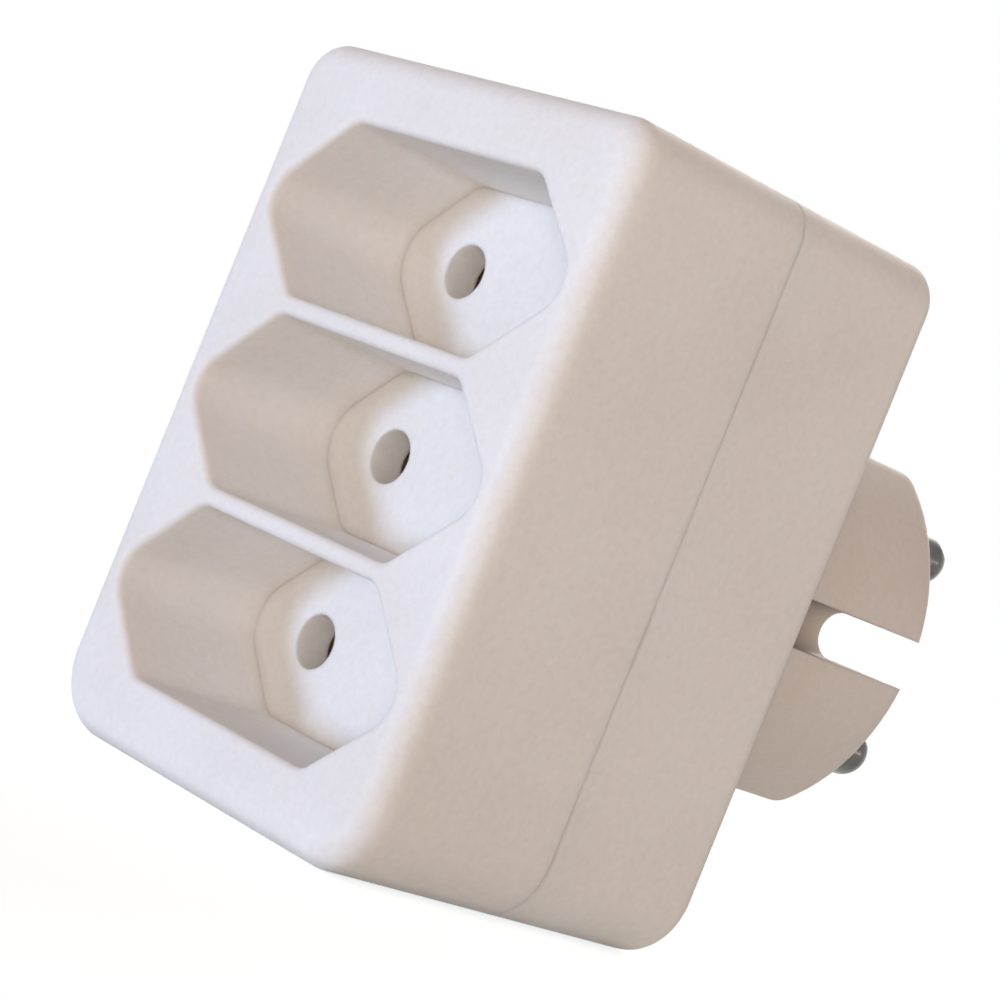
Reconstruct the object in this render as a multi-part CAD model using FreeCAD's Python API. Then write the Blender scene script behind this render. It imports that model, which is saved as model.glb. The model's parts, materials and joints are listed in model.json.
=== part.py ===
import FreeCAD, Part
import math
import os
from FreeCAD import Vector

# Multi socket adapter. A round two-pin mains plug at the back feeds three flat
# two-pin sockets, one above the other, in the front of a rectangular housing.
# The plug points along +Y, the sockets open towards -Y and +Z is up.
# The origin is the middle of the housing's flat base. Sizes are in millimetres.

# Sockets: a well is a flat hexagon with rounded noses, wide enough for the plug
socket_count = 3
well_half_height = 7.45
well_half_flat = 11.6
well_half_point = 19.7
well_nose_radius = 2.9
well_corner_radius = 2.0
well_floor_nose_radius = 4.2
well_floor_corner_radius = 3.2
well_depth = 14.5
well_draft = 0.25
well_edge_radius = 0.6
well_wall = 1.5
well_web = 1.55
well_floor = 2.0
socket_pin_spacing = 18.6
pin_hole_radius = 2.35
pin_guide_radius = 3.6
pin_guide_length = 1.6
socket_pin_radius = 2.0
socket_pin_length = 19.0
socket_pin_end_gap = 0.5

# Housing
side_margin = 2.9
end_margin = 6.1
wall = 2.0
top_corner_radius = 3.6
bottom_corner_radius = 6.0
front_edge_radius = 2.2
rear_edge_radius = 1.5
front_shell_depth = 19.0
seam_chamfer = 0.15
tongue_thickness = 0.9
tongue_height = 1.5
joint_clearance = 0.1

# Plug: a round collar, flat above the upper pin and below the lower one
collar_radius = 18.5
collar_depth = 17.8
collar_corner_radius = 2.6
collar_edge_radius = 1.6
collar_wall = 1.8
plug_face_wall = 3.0
slot_width = 4.2
slot_depth = 11.75
slot_wall = 1.6
plug_pin_spacing = 19.0
plug_pin_radius = 2.4
plug_pin_length = 19.0
plug_pin_root_radius = 2.9
plug_pin_flange_radius = 3.5
plug_pin_flange = 1.2
flange_clearance = 0.4
plug_pin_tail_radius = 1.5
plug_pin_tail_head_radius = 2.3
plug_pin_tail_head = 0.9

# Contacts and bus bars
strip_thickness = 0.8
strip_width = 8.0
strip_corner = 1.2
strip_bend_radius = 0.8
strip_arm_width = 7.0
arm_clearance = 0.3
sheet_thickness = 0.5
contact_length = 10.0
contact_gap_angle = 62.0
contact_clearance = 0.03
contact_tab_length = 6.6
contact_tab_width = 6.0
contact_shoulder = 0.8
contact_setback = 0.3
contact_lead_in = 0.2
rivet_radius = 1.0
rivet_head_radius = 1.8
rivet_head = 0.7
rivet_offset = 4.7
rivet_clearance = 0.04

# Ribs that hold the bus bars
rib_thickness = 2.0
rib_cheek = 1.6
rib_grip = 0.8
rib_clearance = 0.3
clamp_clearance = 0.15

# Screws
screw_inset = 5.1
screw_radius = 1.25
screw_length = 14.0
screw_grip = 7.0
screw_tip = 1.5
screw_head_radius = 2.8
screw_head = 1.9
screw_cross_width = 0.9
screw_cross_length = 3.2
screw_cross_depth = 1.1
screw_hole_radius = 1.7
screw_recess_radius = 3.1
screw_recess_wall = 1.2
screw_boss_radius = 2.8
pilot_clearance = 0.05
pilot_spare = 1.0

# How far a cut runs past a face, and how deep an added form is sunk in its wall
overrun = 1.0

# Places that follow from the sizes above
well_point_slope = math.atan2(well_half_height, well_half_point - well_half_flat)
well_half_width = well_half_point - well_nose_radius * (1 / math.sin(well_point_slope) - 1)
socket_pitch = 2 * well_half_height + well_web
housing_width = 2 * (well_half_width + side_margin)
housing_height = (socket_count - 1) * socket_pitch + 2 * (well_half_height + end_margin)
housing_depth = well_depth + socket_pin_length + socket_pin_end_gap + wall
middle_z = housing_height / 2
front_y = -housing_depth / 2
rear_y = housing_depth / 2
seam_y = front_y + front_shell_depth
floor_y = front_y + well_depth
floor_back_y = floor_y + well_floor
guide_end_y = floor_back_y + pin_guide_length
plug_face_y = rear_y + collar_depth
plug_inside_y = plug_face_y - plug_face_wall
plug_tip_y = plug_face_y + plug_pin_length
socket_heights = [middle_z + (index - (socket_count - 1) / 2) * socket_pitch for index in range(socket_count)]
socket_half_spacing = socket_pin_spacing / 2
plug_half_spacing = plug_pin_spacing / 2

contact_inner = socket_pin_radius + contact_clearance
contact_outer = contact_inner + sheet_thickness
contact_start_y = guide_end_y + contact_setback
contact_end_y = contact_start_y + contact_length
contact_middle_y = (contact_start_y + contact_end_y) / 2
strip_outer_x = socket_half_spacing - contact_outer
strip_inner_x = strip_outer_x - strip_thickness
strip_front_y = contact_middle_y - strip_width / 2
strip_rear_y = contact_middle_y + strip_width / 2
strip_end_y = plug_inside_y - plug_pin_flange
strip_high_z = socket_heights[-1] + contact_tab_length + strip_corner
strip_low_z = socket_heights[0] - contact_tab_length
clamp_rib_offset = contact_outer + contact_shoulder + rib_clearance + rib_thickness / 2

screw_x = housing_width / 2 - screw_inset
screw_z = housing_height / 2 - screw_inset
screw_seat_y = seam_y + screw_grip
screw_tip_y = screw_seat_y - screw_length
slot_end_x = collar_radius - slot_depth
collar_half_flat = plug_half_spacing + plug_pin_flange_radius + flange_clearance + collar_wall

Y_AXIS = Vector(0, 1, 0)


def box(x0, x1, y0, y1, z0, z1):
    """Block between two corners."""
    return Part.makeBox(x1 - x0, y1 - y0, z1 - z0, Vector(x0, y0, z0))


def rod(radius, x, z, y0, y1):
    """Cylinder along Y between two places."""
    return Part.makeCylinder(radius, y1 - y0, Vector(x, y0, z), Y_AXIS)


def half_turn(shape):
    """The same piece for the other pole: turned half round about the plug's axis."""
    return shape.rotated(Vector(0, 0, middle_z), Y_AXIS, 180)


def rounded_wire(corners, radii, y):
    """Closed outline in the XZ plane at y, with each corner rounded to its radius."""
    points = [Vector(x, y, z) for x, z in corners]
    starts, middles, ends = [], [], []
    for index, corner in enumerate(points):
        to_last = (points[index - 1] - corner).normalize()
        to_next = (points[(index + 1) % len(points)] - corner).normalize()
        half_angle = to_last.getAngle(to_next) / 2
        reach = radii[index] / math.tan(half_angle)
        inward = (to_last + to_next).normalize()
        starts.append(corner + to_last * reach)
        ends.append(corner + to_next * reach)
        middles.append(corner + inward * radii[index] * (1 / math.sin(half_angle) - 1))
    edges = []
    for index in range(len(points)):
        edges.append(Part.makeLine(ends[index - 1], starts[index]))
        edges.append(Part.Arc(starts[index], middles[index], ends[index]).toShape())
    return Part.Wire(edges)


def housing_block(inset, y0, y1):
    """Rounded upright block of the housing's outline, drawn in by an inset."""
    half_width = housing_width / 2 - inset
    half_height = housing_height / 2 - inset
    top = top_corner_radius - inset
    bottom = bottom_corner_radius - inset
    corners = [
        (half_width, middle_z - half_height),
        (half_width, middle_z + half_height),
        (-half_width, middle_z + half_height),
        (-half_width, middle_z - half_height),
    ]
    wire = rounded_wire(corners, [bottom, top, top, bottom], y0)
    return Part.Face(wire).extrude(Vector(0, y1 - y0, 0))


def edges_at(shape, y):
    """Edges that lie wholly in the plane across Y at a place."""
    return [
        edge
        for edge in shape.Edges
        if abs(edge.BoundBox.YMin - y) < 0.001 and abs(edge.BoundBox.YMax - y) < 0.001
    ]


def well_wire(y, grow, nose_radius, corner_radius):
    """Outline of a well at height zero: a flat hexagon with rounded noses and corners."""
    corners = [
        (well_half_flat, well_half_height),
        (-well_half_flat, well_half_height),
        (-well_half_point, 0),
        (-well_half_flat, -well_half_height),
        (well_half_flat, -well_half_height),
        (well_half_point, 0),
    ]
    wire = rounded_wire(corners, [corner_radius, corner_radius, nose_radius] * 2, y)
    if grow:
        wire = wire.makeOffset2D(grow)
    return wire


def well_space():
    """Hollow of one well, which narrows a little and grows rounder towards its floor."""
    mouth = well_wire(front_y, 0, well_nose_radius, well_corner_radius)
    floor = well_wire(floor_y, -well_draft, well_floor_nose_radius, well_floor_corner_radius)
    return Part.makeLoft([mouth, floor], True, True)


def well_casing():
    """Block round one well, from the front plate to behind its floor."""
    outline = well_wire(front_y, well_wall, well_nose_radius, well_corner_radius)
    return Part.Face(outline).extrude(Vector(0, floor_back_y - front_y, 0))


def screw_places():
    """The four corners where the screws stand."""
    return [(side * screw_x, middle_z + end * screw_z) for side in (-1, 1) for end in (-1, 1)]


def pin_hole_places():
    """Every pin hole of the sockets, as x and z."""
    return [(side * socket_half_spacing, height) for height in socket_heights for side in (-1, 1)]


def strip_room(y0, y1):
    """The room in the ribs that both bus bars' plates take between two places along Y."""
    gap = joint_clearance
    low_z = strip_low_z - gap
    left = box(-strip_outer_x - gap, -strip_inner_x + gap, y0, y1, low_z, strip_high_z + gap)
    return left.fuse(half_turn(left))


def rib_pair(height, y0, y1):
    """One rib for each bus bar at a height, as wide as the plate and a cheek each side."""
    ribs = []
    for side in (-1, 1):
        low_x, high_x = sorted((side * (strip_inner_x - rib_cheek), side * (strip_outer_x + rib_cheek)))
        ribs.append(box(low_x, high_x, y0, y1, height - rib_thickness / 2, height + rib_thickness / 2))
    return ribs


def front_housing():
    """Front shell with the wells, pin holes, cradle ribs, screw bosses and seam tongue."""
    outer = housing_block(0, front_y, seam_y)
    outer = outer.makeFillet(front_edge_radius, edges_at(outer, front_y))
    outer = outer.makeChamfer(seam_chamfer, edges_at(outer, seam_y))
    cavity = housing_block(wall, front_y + wall, seam_y + overrun)
    shell = outer.cut(cavity)

    tongue_low_y = seam_y - overrun
    tongue_high_y = seam_y + tongue_height
    tongue = housing_block(wall - tongue_thickness, tongue_low_y, tongue_high_y)
    tongue = tongue.cut(housing_block(wall, tongue_low_y - overrun, tongue_high_y + overrun))

    inside = []
    for height in socket_heights:
        casing = well_casing().translated(Vector(0, 0, height))
        inside.append(casing.common(housing_block(overrun, front_y + overrun, seam_y)))
    for x, z in pin_hole_places():
        inside.append(rod(pin_guide_radius, x, z, floor_back_y - overrun, guide_end_y))
    for lower, upper in zip(socket_heights, socket_heights[1:]):
        inside += rib_pair((lower + upper) / 2, floor_back_y - overrun, strip_front_y + rib_grip)
    for x, z in screw_places():
        boss = rod(screw_boss_radius, x, z, front_y + overrun, seam_y)
        inside.append(boss.common(housing_block(overrun, front_y, seam_y)))
    body = shell.fuse([tongue] + inside)

    cuts = [well_space().translated(Vector(0, 0, height)) for height in socket_heights]
    hole_ends = (floor_y - overrun, guide_end_y + overrun)
    cuts += [rod(pin_hole_radius, x, z, *hole_ends) for x, z in pin_hole_places()]
    pilot = screw_radius + pilot_clearance
    cuts += [rod(pilot, x, z, screw_tip_y - pilot_spare, seam_y + overrun) for x, z in screw_places()]
    cuts.append(strip_room(strip_front_y - joint_clearance, strip_rear_y))
    body = body.cut(cuts).removeSplitter()

    mouths = [
        edge
        for edge in edges_at(body, front_y)
        if edge.BoundBox.XMax < well_half_point
        and edge.BoundBox.XMin > -well_half_point
        and min(abs(edge.CenterOfMass.z - height) for height in socket_heights) < well_half_height + 0.01
    ]
    return body.makeFillet(well_edge_radius, mouths)


def collar_block(inset, y0, y1):
    """The collar's round outline with flats above and below, drawn in by an inset."""
    radius = collar_radius - inset
    half_flat = collar_half_flat - inset
    block = rod(radius, 0, middle_z, y0, y1)
    block = block.common(box(-radius, radius, y0, y1, middle_z - half_flat, middle_z + half_flat))
    corners = [
        edge
        for edge in block.Edges
        if edge.BoundBox.YLength > (y1 - y0) / 2
        and abs(abs(edge.CenterOfMass.z - middle_z) - half_flat) < 0.001
    ]
    return block.makeFillet(collar_corner_radius - inset, corners)


def slot_shape(side, grow, y0, y1):
    """U-shaped channel along Y, open at the collar's side, widened by an amount."""
    half_width = slot_width / 2 + grow
    centre_x = slot_end_x + slot_width / 2
    channel = box(centre_x, 2 * collar_radius, y0, y1, middle_z - half_width, middle_z + half_width)
    channel = channel.fuse(rod(half_width, centre_x, middle_z, y0, y1))
    if side < 0:
        channel = channel.rotated(Vector(0, 0, middle_z), Y_AXIS, 180)
    return channel


def rear_housing():
    """Rear shell with the hollow plug collar, its two earth clip slots and the screw posts."""
    outer = housing_block(0, seam_y, rear_y)
    outer = outer.makeFillet(rear_edge_radius, edges_at(outer, rear_y))
    outer = outer.makeChamfer(seam_chamfer, edges_at(outer, seam_y))
    shell = outer.cut(housing_block(wall, seam_y - overrun, rear_y - wall))

    collar = collar_block(0, rear_y - wall, plug_face_y)
    collar = collar.makeFillet(collar_edge_radius, edges_at(collar, plug_face_y))
    inside = []
    for x, z in screw_places():
        post = rod(screw_recess_radius + screw_recess_wall, x, z, seam_y, rear_y - overrun)
        inside.append(post.common(housing_block(overrun, seam_y, rear_y)))
    for height in (socket_heights[0] - clamp_rib_offset, socket_heights[-1] + clamp_rib_offset):
        inside += rib_pair(height, strip_rear_y - rib_grip, rear_y - overrun)
    body = shell.fuse([collar] + inside)

    chamber = collar_block(collar_wall, rear_y - wall - overrun, plug_inside_y)
    for side in (-1, 1):
        chamber = chamber.cut(slot_shape(side, slot_wall, rear_y - wall, plug_face_y))
    rebate_low_y = seam_y - overrun
    rebate_high_y = seam_y + tongue_height + joint_clearance
    rebate = housing_block(wall - tongue_thickness - joint_clearance, rebate_low_y, rebate_high_y)
    rebate = rebate.cut(housing_block(wall, rebate_low_y - overrun, rear_y))
    cuts = [chamber, rebate]
    cuts += [slot_shape(side, 0, rear_y, plug_face_y + overrun) for side in (-1, 1)]
    for x, z in screw_places():
        cuts.append(rod(screw_hole_radius, x, z, seam_y - overrun, screw_seat_y + overrun))
        cuts.append(rod(screw_recess_radius, x, z, screw_seat_y, rear_y + overrun))
    hole = plug_pin_root_radius + pilot_clearance
    for side in (-1, 1):
        height = middle_z + side * plug_half_spacing
        cuts.append(rod(hole, 0, height, plug_inside_y - overrun, plug_face_y + overrun))
    cuts.append(strip_room(strip_front_y, strip_rear_y + clamp_clearance))
    return body.cut(cuts).removeSplitter()


def turned(profile, x, z):
    """Solid of revolution about a line along Y, from radius and y pairs."""
    points = [Vector(x + radius, y, z) for radius, y in profile]
    face = Part.Face(Part.makePolygon(points + points[:1]))
    return face.revolve(Vector(x, 0, z), Y_AXIS, 360)


def plug_pin(z):
    """Turned plug pin: domed shank, root in the plug face, flange and peened tail."""
    tail_end_y = strip_end_y - strip_thickness - plug_pin_tail_head
    body = rod(plug_pin_radius, 0, z, plug_face_y, plug_tip_y - plug_pin_radius)
    dome = Part.makeSphere(plug_pin_radius, Vector(0, plug_tip_y - plug_pin_radius, z))
    root = turned(
        [
            (0, tail_end_y),
            (plug_pin_tail_head_radius - plug_pin_tail_head, tail_end_y),
            (plug_pin_tail_head_radius, tail_end_y + plug_pin_tail_head),
            (plug_pin_tail_radius, tail_end_y + plug_pin_tail_head),
            (plug_pin_tail_radius, strip_end_y),
            (plug_pin_flange_radius, strip_end_y),
            (plug_pin_flange_radius, plug_inside_y),
            (plug_pin_root_radius, plug_inside_y),
            (plug_pin_root_radius, plug_face_y),
            (0, plug_face_y),
        ],
        0,
        z,
    )
    return body.fuse([dome, root]).removeSplitter()


def bus_bar():
    """Left bus bar: an upright plate beside its contacts, and an arm bent in to the upper pin."""
    pin_z = middle_z + plug_half_spacing
    plate = box(-strip_outer_x, -strip_inner_x, strip_front_y, strip_rear_y, strip_low_z, strip_high_z)
    long_ends = [edge for edge in plate.Edges if edge.BoundBox.XLength > strip_thickness / 2]
    plate = plate.makeFillet(strip_corner, long_ends)

    outside_x = -strip_outer_x
    bend = strip_bend_radius
    bend_x = outside_x + strip_thickness + bend
    bend_y = strip_end_y - strip_thickness - bend
    tab_x = strip_arm_width / 2
    z0 = pin_z - strip_arm_width / 2
    cosine = math.cos(math.pi / 4)
    outer_bend = bend + strip_thickness
    points = {
        "start": Vector(outside_x, strip_rear_y - strip_corner, z0),
        "outer_in": Vector(outside_x, bend_y, z0),
        "outer_mid": Vector(bend_x - outer_bend * cosine, bend_y + outer_bend * cosine, z0),
        "outer_out": Vector(bend_x, strip_end_y, z0),
        "tip_far": Vector(tab_x, strip_end_y, z0),
        "tip_near": Vector(tab_x, strip_end_y - strip_thickness, z0),
        "inner_in": Vector(bend_x, strip_end_y - strip_thickness, z0),
        "inner_mid": Vector(bend_x - bend * cosine, bend_y + bend * cosine, z0),
        "inner_out": Vector(outside_x + strip_thickness, bend_y, z0),
        "finish": Vector(outside_x + strip_thickness, strip_rear_y - strip_corner, z0),
    }
    profile = Part.Wire(
        [
            Part.makeLine(points["start"], points["outer_in"]),
            Part.Arc(points["outer_in"], points["outer_mid"], points["outer_out"]).toShape(),
            Part.makeLine(points["outer_out"], points["tip_far"]),
            Part.makeLine(points["tip_far"], points["tip_near"]),
            Part.makeLine(points["tip_near"], points["inner_in"]),
            Part.Arc(points["inner_in"], points["inner_mid"], points["inner_out"]).toShape(),
            Part.makeLine(points["inner_out"], points["finish"]),
            Part.makeLine(points["finish"], points["start"]),
        ]
    )
    arm = Part.Face(profile).extrude(Vector(0, 0, strip_arm_width))
    end_low_y = strip_end_y - strip_thickness - overrun
    end_high_y = strip_end_y + overrun
    z1 = z0 + strip_arm_width
    round_end = rod(strip_arm_width / 2, 0, pin_z, end_low_y, end_high_y)
    square_end = box(0, strip_arm_width, end_low_y, end_high_y, z0 - overrun, z1 + overrun)
    arm = arm.cut(square_end.cut(round_end))
    arm = arm.common(collar_block(collar_wall + arm_clearance, strip_front_y, end_high_y))

    body = plate.fuse(arm)
    tail = plug_pin_tail_radius + rivet_clearance
    cuts = [rod(tail, 0, pin_z, end_low_y, end_high_y)]
    for height in socket_heights:
        cuts.append(rivet_bore(height))
    return body.cut(cuts).removeSplitter()


def rivet_bore(height):
    """Hole through plate and tab for the rivet of the contact at a height."""
    centre = Vector(-socket_half_spacing, contact_middle_y, height + rivet_offset)
    return Part.makeCylinder(rivet_radius + rivet_clearance, socket_half_spacing, centre, Vector(1, 0, 0))


def contact_sleeve(height):
    """Left spring contact: a split sleeve round the pin's line, with a tangent tab."""
    centre = Vector(-socket_half_spacing, contact_start_y, height)
    start_angle = math.radians(contact_gap_angle)
    middle_angle = (start_angle + 2 * math.pi) / 2

    def polar(radius, angle):
        return centre + Vector(radius * math.cos(angle), 0, radius * math.sin(angle))

    top = Vector(0, 0, contact_tab_length)
    outer_foot = polar(contact_outer, 0)
    outer_tip = polar(contact_outer, start_angle)
    inner_foot = polar(contact_inner, 0)
    inner_tip = polar(contact_inner, start_angle)
    profile = Part.Wire(
        [
            Part.makeLine(outer_foot + top, outer_foot),
            Part.Arc(outer_foot, polar(contact_outer, middle_angle), outer_tip).toShape(),
            Part.makeLine(outer_tip, inner_tip),
            Part.Arc(inner_tip, polar(contact_inner, middle_angle), inner_foot).toShape(),
            Part.makeLine(inner_foot, inner_foot + top),
            Part.makeLine(inner_foot + top, outer_foot + top),
        ]
    )
    body = Part.Face(profile).extrude(Vector(0, contact_length, 0))
    mouth = [
        edge
        for edge in edges_at(body, contact_start_y)
        if edge.Curve.TypeId == "Part::GeomCircle" and abs(edge.Curve.Radius - contact_inner) < 0.001
    ]
    body = body.makeChamfer(contact_lead_in, mouth)

    tab_low = height + contact_outer + contact_shoulder
    tab_high = tab_low + contact_tab_length
    trim = (contact_length - contact_tab_width) / 2
    trims = [
        box(-socket_half_spacing, 0, contact_start_y, contact_start_y + trim, tab_low, tab_high),
        box(-socket_half_spacing, 0, contact_end_y - trim, contact_end_y, tab_low, tab_high),
        rivet_bore(height),
    ]
    return body.cut(trims).removeSplitter()


def contact_rivet(height):
    """Rivet that fixes a left contact's tab to its bus bar, heads on both sides."""
    tab_x = -strip_outer_x - sheet_thickness
    plate_x = -strip_inner_x
    centre_y = contact_middle_y
    z = height + rivet_offset
    crown = rivet_head_radius - rivet_head / 2
    profile = [
        (tab_x - rivet_head, 0),
        (tab_x - rivet_head, crown),
        (tab_x, rivet_head_radius),
        (tab_x, rivet_radius),
        (plate_x, rivet_radius),
        (plate_x, rivet_head_radius),
        (plate_x + rivet_head, crown),
        (plate_x + rivet_head, 0),
    ]
    points = [Vector(x, centre_y + radius, z) for x, radius in profile]
    face = Part.Face(Part.makePolygon(points + points[:1]))
    return face.revolve(Vector(0, centre_y, z), Vector(1, 0, 0), 360)


def housing_screw(x, z):
    """Self-tapping screw with a pan head, a cross recess and a pointed end."""
    crown = screw_head_radius - screw_head / 2
    body = turned(
        [
            (0, screw_tip_y),
            (screw_radius, screw_tip_y + screw_tip),
            (screw_radius, screw_seat_y),
            (screw_head_radius, screw_seat_y),
            (screw_head_radius, screw_seat_y + screw_head / 2),
            (crown, screw_seat_y + screw_head),
            (0, screw_seat_y + screw_head),
        ],
        x,
        z,
    )
    low_y = screw_seat_y + screw_head - screw_cross_depth
    high_y = screw_seat_y + screw_head + overrun
    half_length = screw_cross_length / 2
    half_width = screw_cross_width / 2
    cuts = [
        box(x - length, x + length, low_y, high_y, z - width, z + width)
        for length, width in ((half_length, half_width), (half_width, half_length))
    ]
    return body.cut(cuts)


def pieces():
    """Every piece by its name."""
    named = {
        "front_housing": front_housing(),
        "rear_housing": rear_housing(),
        "plug_pin_upper": plug_pin(middle_z + plug_half_spacing),
        "plug_pin_lower": plug_pin(middle_z - plug_half_spacing),
        "bus_bar_left": bus_bar(),
        "bus_bar_right": half_turn(bus_bar()),
    }
    for index, height in enumerate(socket_heights):
        opposite = socket_count - index
        named["contact_left_%d" % (index + 1)] = contact_sleeve(height)
        named["contact_right_%d" % opposite] = half_turn(contact_sleeve(height))
        named["contact_rivet_left_%d" % (index + 1)] = contact_rivet(height)
        named["contact_rivet_right_%d" % opposite] = half_turn(contact_rivet(height))
    corner_names = ["lower_left", "upper_left", "lower_right", "upper_right"]
    for corner, (x, z) in zip(corner_names, screw_places()):
        named["housing_screw_" + corner] = housing_screw(x, z)
    return named


os.makedirs("parts", exist_ok=True)
for name, shape in pieces().items():
    solid = shape if shape.ShapeType == "Solid" else shape.Solids[0]
    solid.exportStep("parts/" + name + ".step")
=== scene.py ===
import json
import math

import bpy
from mathutils import Matrix, Vector


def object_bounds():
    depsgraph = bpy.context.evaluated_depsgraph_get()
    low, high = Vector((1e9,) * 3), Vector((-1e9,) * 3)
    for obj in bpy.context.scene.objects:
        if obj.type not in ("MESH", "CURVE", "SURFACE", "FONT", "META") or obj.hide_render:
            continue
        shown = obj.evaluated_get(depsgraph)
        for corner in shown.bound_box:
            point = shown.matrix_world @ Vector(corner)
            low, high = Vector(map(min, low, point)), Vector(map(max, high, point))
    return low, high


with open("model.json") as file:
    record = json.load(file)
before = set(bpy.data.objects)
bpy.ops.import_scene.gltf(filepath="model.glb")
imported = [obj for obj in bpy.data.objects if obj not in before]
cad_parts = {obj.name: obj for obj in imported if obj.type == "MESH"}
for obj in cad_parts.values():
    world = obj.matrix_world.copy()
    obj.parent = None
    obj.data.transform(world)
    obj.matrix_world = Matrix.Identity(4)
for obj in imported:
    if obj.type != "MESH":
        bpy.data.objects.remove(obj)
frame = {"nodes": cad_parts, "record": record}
cad_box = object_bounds()
nodes = frame["nodes"]

# The view: where the camera stands, the way it faces and how it leans
EYE = Vector((0.18348, -0.1652, 0.03119))
AZIMUTH = math.radians(47.791)
ELEVATION = math.radians(0.253)
ROLL = math.radians(22.001)
LENS = 109.79
SENSOR = 36.0
VIEW_START = 0.01
VIEW_END = 20.0

# Places and distances on the object, in metres
MIDDLE = Vector((0, 0, 0.03))
SEAM = 0.001
SEAM_CORE = 0.00006
SEAM_EDGE = 0.00022
COLLAR_START = 0.0165
COLLAR_FULL = 0.0195
CORNER_REACH = 0.0012
COLLAR_REACH = 0.008
EDGE_RADIUS = 0.0004
LIGHT_DEPTH = 0.0014
GRAIN_DEPTH = 0.00003
WAVE_DEPTH = 0.00008
TOOL_MARK_DEPTH = 0.00001
PIN_RINGS = 0.0002
SCREW_RINGS = 0.0001

# Finishes and painted shade, as linear colours
PLASTIC = (0.90, 0.88, 0.85)
PLASTIC_SHADE = (0.81, 0.77, 0.71)
# Collar multiplied darker and warmer: partly a tone of its own, partly painted shade for the weaker light
# there
COLLAR_TINT_AND_SHADE = (0.88, 0.84, 0.81)
SEAM_DIRT = (0.74, 0.69, 0.63)
# Colour of the painted shade in corners and on the collar
PAINTED_CORNER_SHADE = (0.56, 0.48, 0.41)
# Nickel set dark: the low value paints in the reflection of dark surroundings, and the worn patches vary it
# at random
NICKEL_PAINTED_DARK = (0.12, 0.115, 0.108)
NICKEL_WORN_PAINTED_DARK = (0.065, 0.06, 0.055)
BRASS = (0.70, 0.50, 0.22)
BRASS_TARNISH = (0.42, 0.27, 0.11)
ZINC = (0.60, 0.61, 0.62)
ZINC_DULL = (0.42, 0.42, 0.42)

# Lamps, as linear colours
KEY_COLOUR = (0.48, 0.67, 1.0)
FLASH_COLOUR = (1.0, 0.90, 0.835)
RIM_COLOUR = (1.0, 0.95, 0.9)
BACK_COLOUR = (1.0, 0.97, 0.94)

# Surroundings: their strength before and behind the object, and how far from its side they turn
WORLD_COLOUR = (1.0, 0.8, 0.71)
WORLD_FRONT = 0.42
WORLD_BACK = 0.23
WORLD_TURN = 0.4

# Floor: its colour, what makes it white to the camera, and half its width in metres
FLOOR_COLOUR = (0.83, 0.86, 0.88)
FLOOR_GLOW = (0.94, 0.99, 1.0)
FLOOR_LIFT = 0.72
FLOOR_SIZE = 4.0


def node_adder(tree):
    """Function that adds a node to a tree, with its values and the links into it."""

    def add(kind, links=None, **values):
        node = tree.nodes.new(kind)
        for key, value in values.items():
            if key in node.inputs:
                node.inputs[key].default_value = value
            else:
                setattr(node, key, value)
        for key, source in (links or {}).items():
            tree.links.new(source, node.inputs[key])
        return node

    return add


def new_material(name):
    """Empty node material with its shader and the function that adds nodes to it."""
    material = bpy.data.materials.new(name)
    material.use_nodes = True
    tree = material.node_tree
    return material, tree.nodes["Principled BSDF"], node_adder(tree)


def ramp(add, source, across, to):
    """Value mapped in a straight line from one pair of limits to another, and held beyond them."""
    limits = {"From Min": across[0], "From Max": across[1], "To Min": to[0], "To Max": to[1]}
    return add("ShaderNodeMapRange", {"Value": source}, **limits).outputs["Result"]


def combine(add, operation, first, second):
    """Two values taken together by an operation, and kept between zero and one."""
    links = {0: first, 1: second}
    return add("ShaderNodeMath", links, operation=operation, use_clamp=True).outputs[0]


def noise(add, place, scale, detail, roughness=0.5):
    """Noise from zero to one, its scale in waves to the metre."""
    values = {"Scale": scale, "Detail": detail, "Roughness": roughness}
    return add("ShaderNodeTexNoise", {"Vector": place}, **values).outputs["Fac"]


def mix_colours(add, factor, under, over, blend="MIX"):
    """Colour laid over another by a factor. The one under it may come from a node."""
    node = add("ShaderNodeMix", {"Factor": factor}, data_type="RGBA", blend_type=blend)
    if isinstance(under, tuple):
        node.inputs["A"].default_value = (*under, 1)
    else:
        node.id_data.links.new(under, node.inputs["A"])
    node.inputs["B"].default_value = (*over, 1)
    return node.outputs["Result"]


def bumped(add, height, strength, distance, normal=None):
    """Normal with the relief of a texture, on the plain surface or on another normal."""
    links = {"Height": height}
    if normal:
        links["Normal"] = normal
    return add("ShaderNodeBump", links, Strength=strength, Distance=distance).outputs[0]


def dress(shader, colour, roughness, normal):
    """Join a shader to its textures."""
    for socket, source in (("Base Color", colour), ("Roughness", roughness), ("Normal", normal)):
        shader.id_data.links.new(source, shader.inputs[socket])


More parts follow.
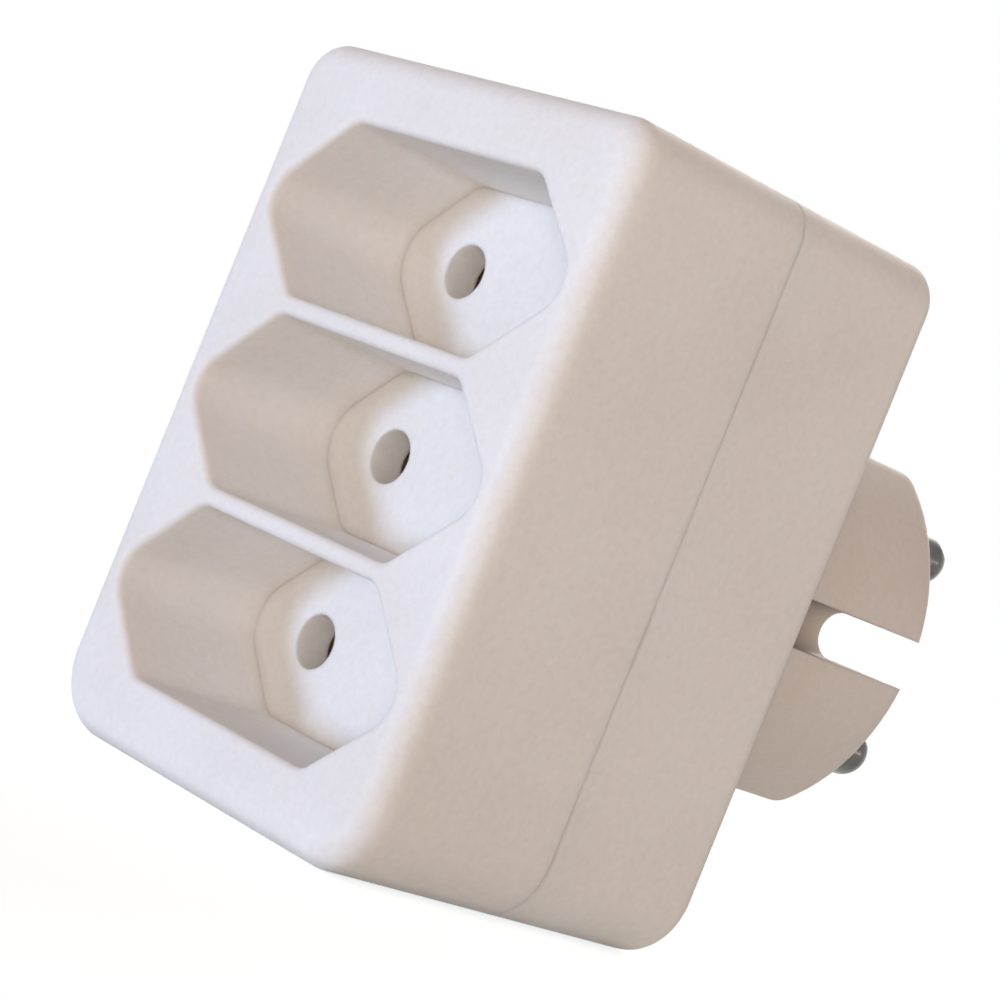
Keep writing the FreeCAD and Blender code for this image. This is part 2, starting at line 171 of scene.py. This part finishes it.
def housing_plastic():
    """White moulded plastic: fine grain, faint mottling, painted shade in corners and on the collar, a
    darker and warmer collar, and slightly worn edges.
    """
    material, shader, add = new_material("housing_plastic")
    place = add("ShaderNodeTexCoord").outputs["Object"]
    along = add("ShaderNodeSeparateXYZ", {"Vector": place}).outputs["Y"]
    flow = noise(add, place, scale=55.0, detail=3.0, roughness=0.55)

    # Painted shade darkens corners and hollows, and reaches farther and deeper on the plug's collar
    collar = ramp(add, along, (COLLAR_START, COLLAR_FULL), (0.0, 1.0))
    reach = ramp(add, collar, (0.0, 1.0), (CORNER_REACH, COLLAR_REACH))
    corners = add("ShaderNodeAmbientOcclusion", {"Distance": reach}, samples=8)
    shut = ramp(add, corners.outputs["AO"], (0.3, 0.95), (1.0, 0.0))
    gather = ramp(add, collar, (0.0, 1.0), (0.3, 0.75))
    painted_shade = combine(add, "MULTIPLY", shut, gather)

    # Edges are softened, and rubbed in places
    rounded = add("ShaderNodeBevel", Radius=EDGE_RADIUS, samples=6).outputs[0]
    plain = add("ShaderNodeNewGeometry").outputs["Normal"]
    bend = add("ShaderNodeVectorMath", {0: rounded, 1: plain}, operation="DOT_PRODUCT")
    edge = ramp(add, bend.outputs["Value"], (0.78, 0.99), (1.0, 0.0))
    rub = ramp(add, flow, (0.4, 0.6), (0.1, 0.7))
    worn = combine(add, "MULTIPLY", edge, rub)

    # A faint line of dirt lies along the seam, broken by noise
    off = add("ShaderNodeMath", {0: along}, operation="SUBTRACT")
    off.inputs[1].default_value = SEAM
    off = add("ShaderNodeMath", {0: off.outputs[0]}, operation="ABSOLUTE")
    near = ramp(add, off.outputs[0], (SEAM_CORE, SEAM_EDGE), (1.0, 0.0))
    broken = noise(add, place, scale=110.0, detail=3.0, roughness=0.6)
    held = ramp(add, broken, (0.46, 0.66), (0.0, 0.9))
    dirt = combine(add, "MULTIPLY", near, held)

    mottle = ramp(add, flow, (0.35, 0.65), (0.0, 0.35))
    speckle = noise(add, place, scale=1500.0, detail=2.0, roughness=0.7)
    specks = ramp(add, speckle, (0.35, 0.7), (0.0, 0.4))
    shade = combine(add, "ADD", combine(add, "MAXIMUM", mottle, worn), specks)
    colour = mix_colours(add, shade, PLASTIC, PLASTIC_SHADE)
    # Collar made darker: partly its own tone, partly painted shade
    colour = mix_colours(add, collar, colour, COLLAR_TINT_AND_SHADE, blend="MULTIPLY")
    # Painted shade laid into corners and on the collar
    colour = mix_colours(add, painted_shade, colour, PAINTED_CORNER_SHADE)
    colour = mix_colours(add, dirt, colour, SEAM_DIRT)

    dull = ramp(add, flow, (0.3, 0.7), (0.52, 0.62))
    polish = ramp(add, worn, (0.0, 1.0), (0.0, 0.18))
    grain = noise(add, place, scale=5200.0, detail=2.0, roughness=0.6)
    wave = noise(add, place, scale=160.0, detail=1.0)
    normal = bumped(add, grain, strength=0.25, distance=GRAIN_DEPTH, normal=rounded)
    normal = bumped(add, wave, strength=0.25, distance=WAVE_DEPTH, normal=normal)
    dress(shader, colour, combine(add, "SUBTRACT", dull, polish), normal)
    shader.inputs["IOR"].default_value = 1.5
    shader.inputs["Subsurface Weight"].default_value = 0.5
    shader.inputs["Subsurface Radius"].default_value = (1.0, 0.85, 0.7)
    shader.inputs["Subsurface Scale"].default_value = LIGHT_DEPTH
    return material


def turned_metal(name, clean, worn, smooth, rough, pitch):
    """Plated turned metal with fine rings round its axis and worn, rougher patches."""
    material, shader, add = new_material(name)
    place = add("ShaderNodeTexCoord").outputs["Object"]
    wear = noise(add, place, scale=420.0, detail=4.0, roughness=0.6)
    patch = ramp(add, wear, (0.45, 0.7), (0.0, 1.0))
    waves = {"Scale": 1 / pitch, "Distortion": 1.5, "Detail": 2.0}
    rings = add("ShaderNodeTexWave", {"Vector": place}, bands_direction="Y", **waves)
    dress(
        shader,
        colour=mix_colours(add, patch, clean, worn),
        roughness=ramp(add, wear, (0.3, 0.75), (smooth, rough)),
        normal=bumped(add, rings.outputs["Fac"], strength=0.15, distance=TOOL_MARK_DEPTH),
    )
    shader.inputs["Metallic"].default_value = 1.0
    return material


def stamped_brass(name, clean, worn):
    """Stamped or headed brass with rolling lines and tarnish."""
    material, shader, add = new_material(name)
    place = add("ShaderNodeTexCoord").outputs["Object"]
    stretch = add("ShaderNodeMapping", {"Vector": place}, Scale=(1.0, 1.0, 0.06))
    lines = noise(add, stretch.outputs[0], scale=3000.0, detail=3.0)
    spots = noise(add, place, scale=260.0, detail=5.0, roughness=0.65)
    tarnish = ramp(add, spots, (0.42, 0.68), (0.0, 0.8))
    dress(
        shader,
        colour=mix_colours(add, tarnish, clean, worn),
        roughness=ramp(add, spots, (0.3, 0.7), (0.28, 0.5)),
        normal=bumped(add, lines, strength=0.2, distance=TOOL_MARK_DEPTH),
    )
    shader.inputs["Metallic"].default_value = 1.0
    return material


materials = {
    "housing_plastic": housing_plastic(),
    # The pins' dark colour is a painted dark reflection
    "nickel_plate": turned_metal(
        "nickel_plate", NICKEL_PAINTED_DARK, NICKEL_WORN_PAINTED_DARK, smooth=0.2, rough=0.35, pitch=PIN_RINGS
    ),
    "brass_strip": stamped_brass("brass_strip", BRASS, BRASS_TARNISH),
    "rivet_brass": stamped_brass("rivet_brass", BRASS, BRASS_TARNISH),
    "screw_steel": turned_metal(
        "screw_steel", ZINC, ZINC_DULL, smooth=0.3, rough=0.45, pitch=SCREW_RINGS
    ),
}
for part in frame["record"]["subparts"]:
    node = nodes[part["node"]]
    node.data.materials.clear()
    node.data.materials.append(materials[part["material_slot"]])


def toward(azimuth, elevation):
    """Unit vector from the object to a place seen at an azimuth and elevation."""
    level = math.cos(elevation)
    return Vector((math.sin(azimuth) * level, -math.cos(azimuth) * level, math.sin(elevation)))


def add_camera():
    """Camera at the view's place and angle, leaning to one side."""
    camera = bpy.data.objects.new("camera", bpy.data.cameras.new("camera"))
    camera.data.sensor_width = SENSOR
    camera.data.lens = LENS
    camera.data.clip_start = VIEW_START
    camera.data.clip_end = VIEW_END
    side = toward(AZIMUTH, ELEVATION)
    upright = (-side).to_track_quat("-Z", "Y").to_matrix()
    lean = Matrix.Rotation(ROLL, 3, "Z")
    camera.matrix_world = Matrix.LocRotScale(EYE, (upright @ lean).to_quaternion(), None)
    bpy.context.scene.collection.objects.link(camera)
    bpy.context.scene.camera = camera


def pass_floor(lamp, floor):
    """Keep the floor from casting a shadow in a lamp's light."""
    open_floor = bpy.data.collections.new(lamp.name + "_open_floor")
    open_floor.objects.link(floor)
    open_floor.collection_objects[0].light_linking.link_state = "EXCLUDE"
    lamp.light_linking.blocker_collection = open_floor


def add_sun(name, azimuth, elevation, spread, strength, colour, floor=None):
    """Even light from one side, its angles in degrees. A floor given here lets it through."""
    data = bpy.data.lights.new(name, "SUN")
    data.angle = math.radians(spread)
    data.energy = strength
    data.color = colour
    lamp = bpy.data.objects.new(name, data)
    side = toward(math.radians(azimuth), math.radians(elevation))
    lamp.location = MIDDLE + side
    lamp.rotation_euler = (-side).to_track_quat("-Z", "Y").to_euler()
    bpy.context.scene.collection.objects.link(lamp)
    if floor:
        pass_floor(lamp, floor)


def add_flash(name, azimuth, elevation, distance, radius, power, colour, floor):
    """Round lamp near the object, which the floor lets through."""
    data = bpy.data.lights.new(name, "POINT")
    data.shadow_soft_size = radius
    data.energy = power
    data.color = colour
    lamp = bpy.data.objects.new(name, data)
    lamp.location = MIDDLE + distance * toward(math.radians(azimuth), math.radians(elevation))
    bpy.context.scene.collection.objects.link(lamp)
    pass_floor(lamp, floor)


def seen_directly(add):
    """Factor of one for rays from the camera, a gloss or glass."""
    path = add("ShaderNodeLightPath")
    seen = path.outputs["Is Camera Ray"]
    for ray in ("Is Glossy Ray", "Is Transmission Ray"):
        seen = add("ShaderNodeMath", {0: seen, 1: path.outputs[ray]}, operation="MAXIMUM").outputs[0]
    return seen


def add_world():
    """Warm surroundings, dimmer behind the object, and white where they are seen directly."""
    world = bpy.data.worlds.new("studio")
    bpy.context.scene.world = world
    world.use_nodes = True
    tree = world.node_tree
    add = node_adder(tree)
    direction = add("ShaderNodeTexCoord").outputs["Generated"]
    back = add("ShaderNodeSeparateXYZ", {0: direction}).outputs["Y"]
    level = ramp(add, back, (-WORLD_TURN, WORLD_TURN), (WORLD_FRONT, WORLD_BACK))
    warm = tree.nodes["Background"]
    warm.inputs["Color"].default_value = (*WORLD_COLOUR, 1)
    tree.links.new(level, warm.inputs["Strength"])
    white = add("ShaderNodeBackground", Color=(1, 1, 1, 1))
    links = {0: seen_directly(add), 1: warm.outputs[0], 2: white.outputs[0]}
    both = add("ShaderNodeMixShader", links)
    tree.links.new(both.outputs[0], tree.nodes["World Output"].inputs["Surface"])


def add_floor():
    """Pale floor at the object's base, which takes its shadow and is nearly white elsewhere."""
    mesh = bpy.data.meshes.new("floor")
    corners = [(x * FLOOR_SIZE, y * FLOOR_SIZE, 0) for x, y in ((-1, -1), (1, -1), (1, 1), (-1, 1))]
    mesh.from_pydata(corners, [], [(0, 1, 2, 3)])
    floor = bpy.data.objects.new("floor", mesh)
    floor.location.z = cad_box[0][2]
    bpy.context.scene.collection.objects.link(floor)
    material, shader, add = new_material("floor")
    shader.inputs["Base Color"].default_value = (*FLOOR_COLOUR, 1)
    shader.inputs["Roughness"].default_value = 0.9
    shader.inputs["Specular IOR Level"].default_value = 0.0
    lift = add("ShaderNodeMath", {0: seen_directly(add)}, operation="MULTIPLY")
    lift.inputs[1].default_value = FLOOR_LIFT
    glow = add("ShaderNodeEmission", {"Strength": lift.outputs[0]}, Color=(*FLOOR_GLOW, 1))
    total = add("ShaderNodeAddShader", {0: shader.outputs[0], 1: glow.outputs[0]})
    tree = material.node_tree
    tree.links.new(total.outputs[0], tree.nodes["Material Output"].inputs["Surface"])
    mesh.materials.append(material)
    return floor


add_camera()
add_world()
floor = add_floor()
add_sun("key", azimuth=-21, elevation=-5, spread=12, strength=1.68, colour=KEY_COLOUR, floor=floor)
add_flash(
    "flash", azimuth=46, elevation=1, distance=0.5, radius=0.04, power=2.75, colour=FLASH_COLOUR, floor=floor
)
add_sun("rim", azimuth=132, elevation=5, spread=5, strength=0.14, colour=RIM_COLOUR)
add_sun("back", azimuth=210, elevation=22, spread=30, strength=1.1, colour=BACK_COLOUR)
bpy.context.scene.view_settings.view_transform = "Standard"
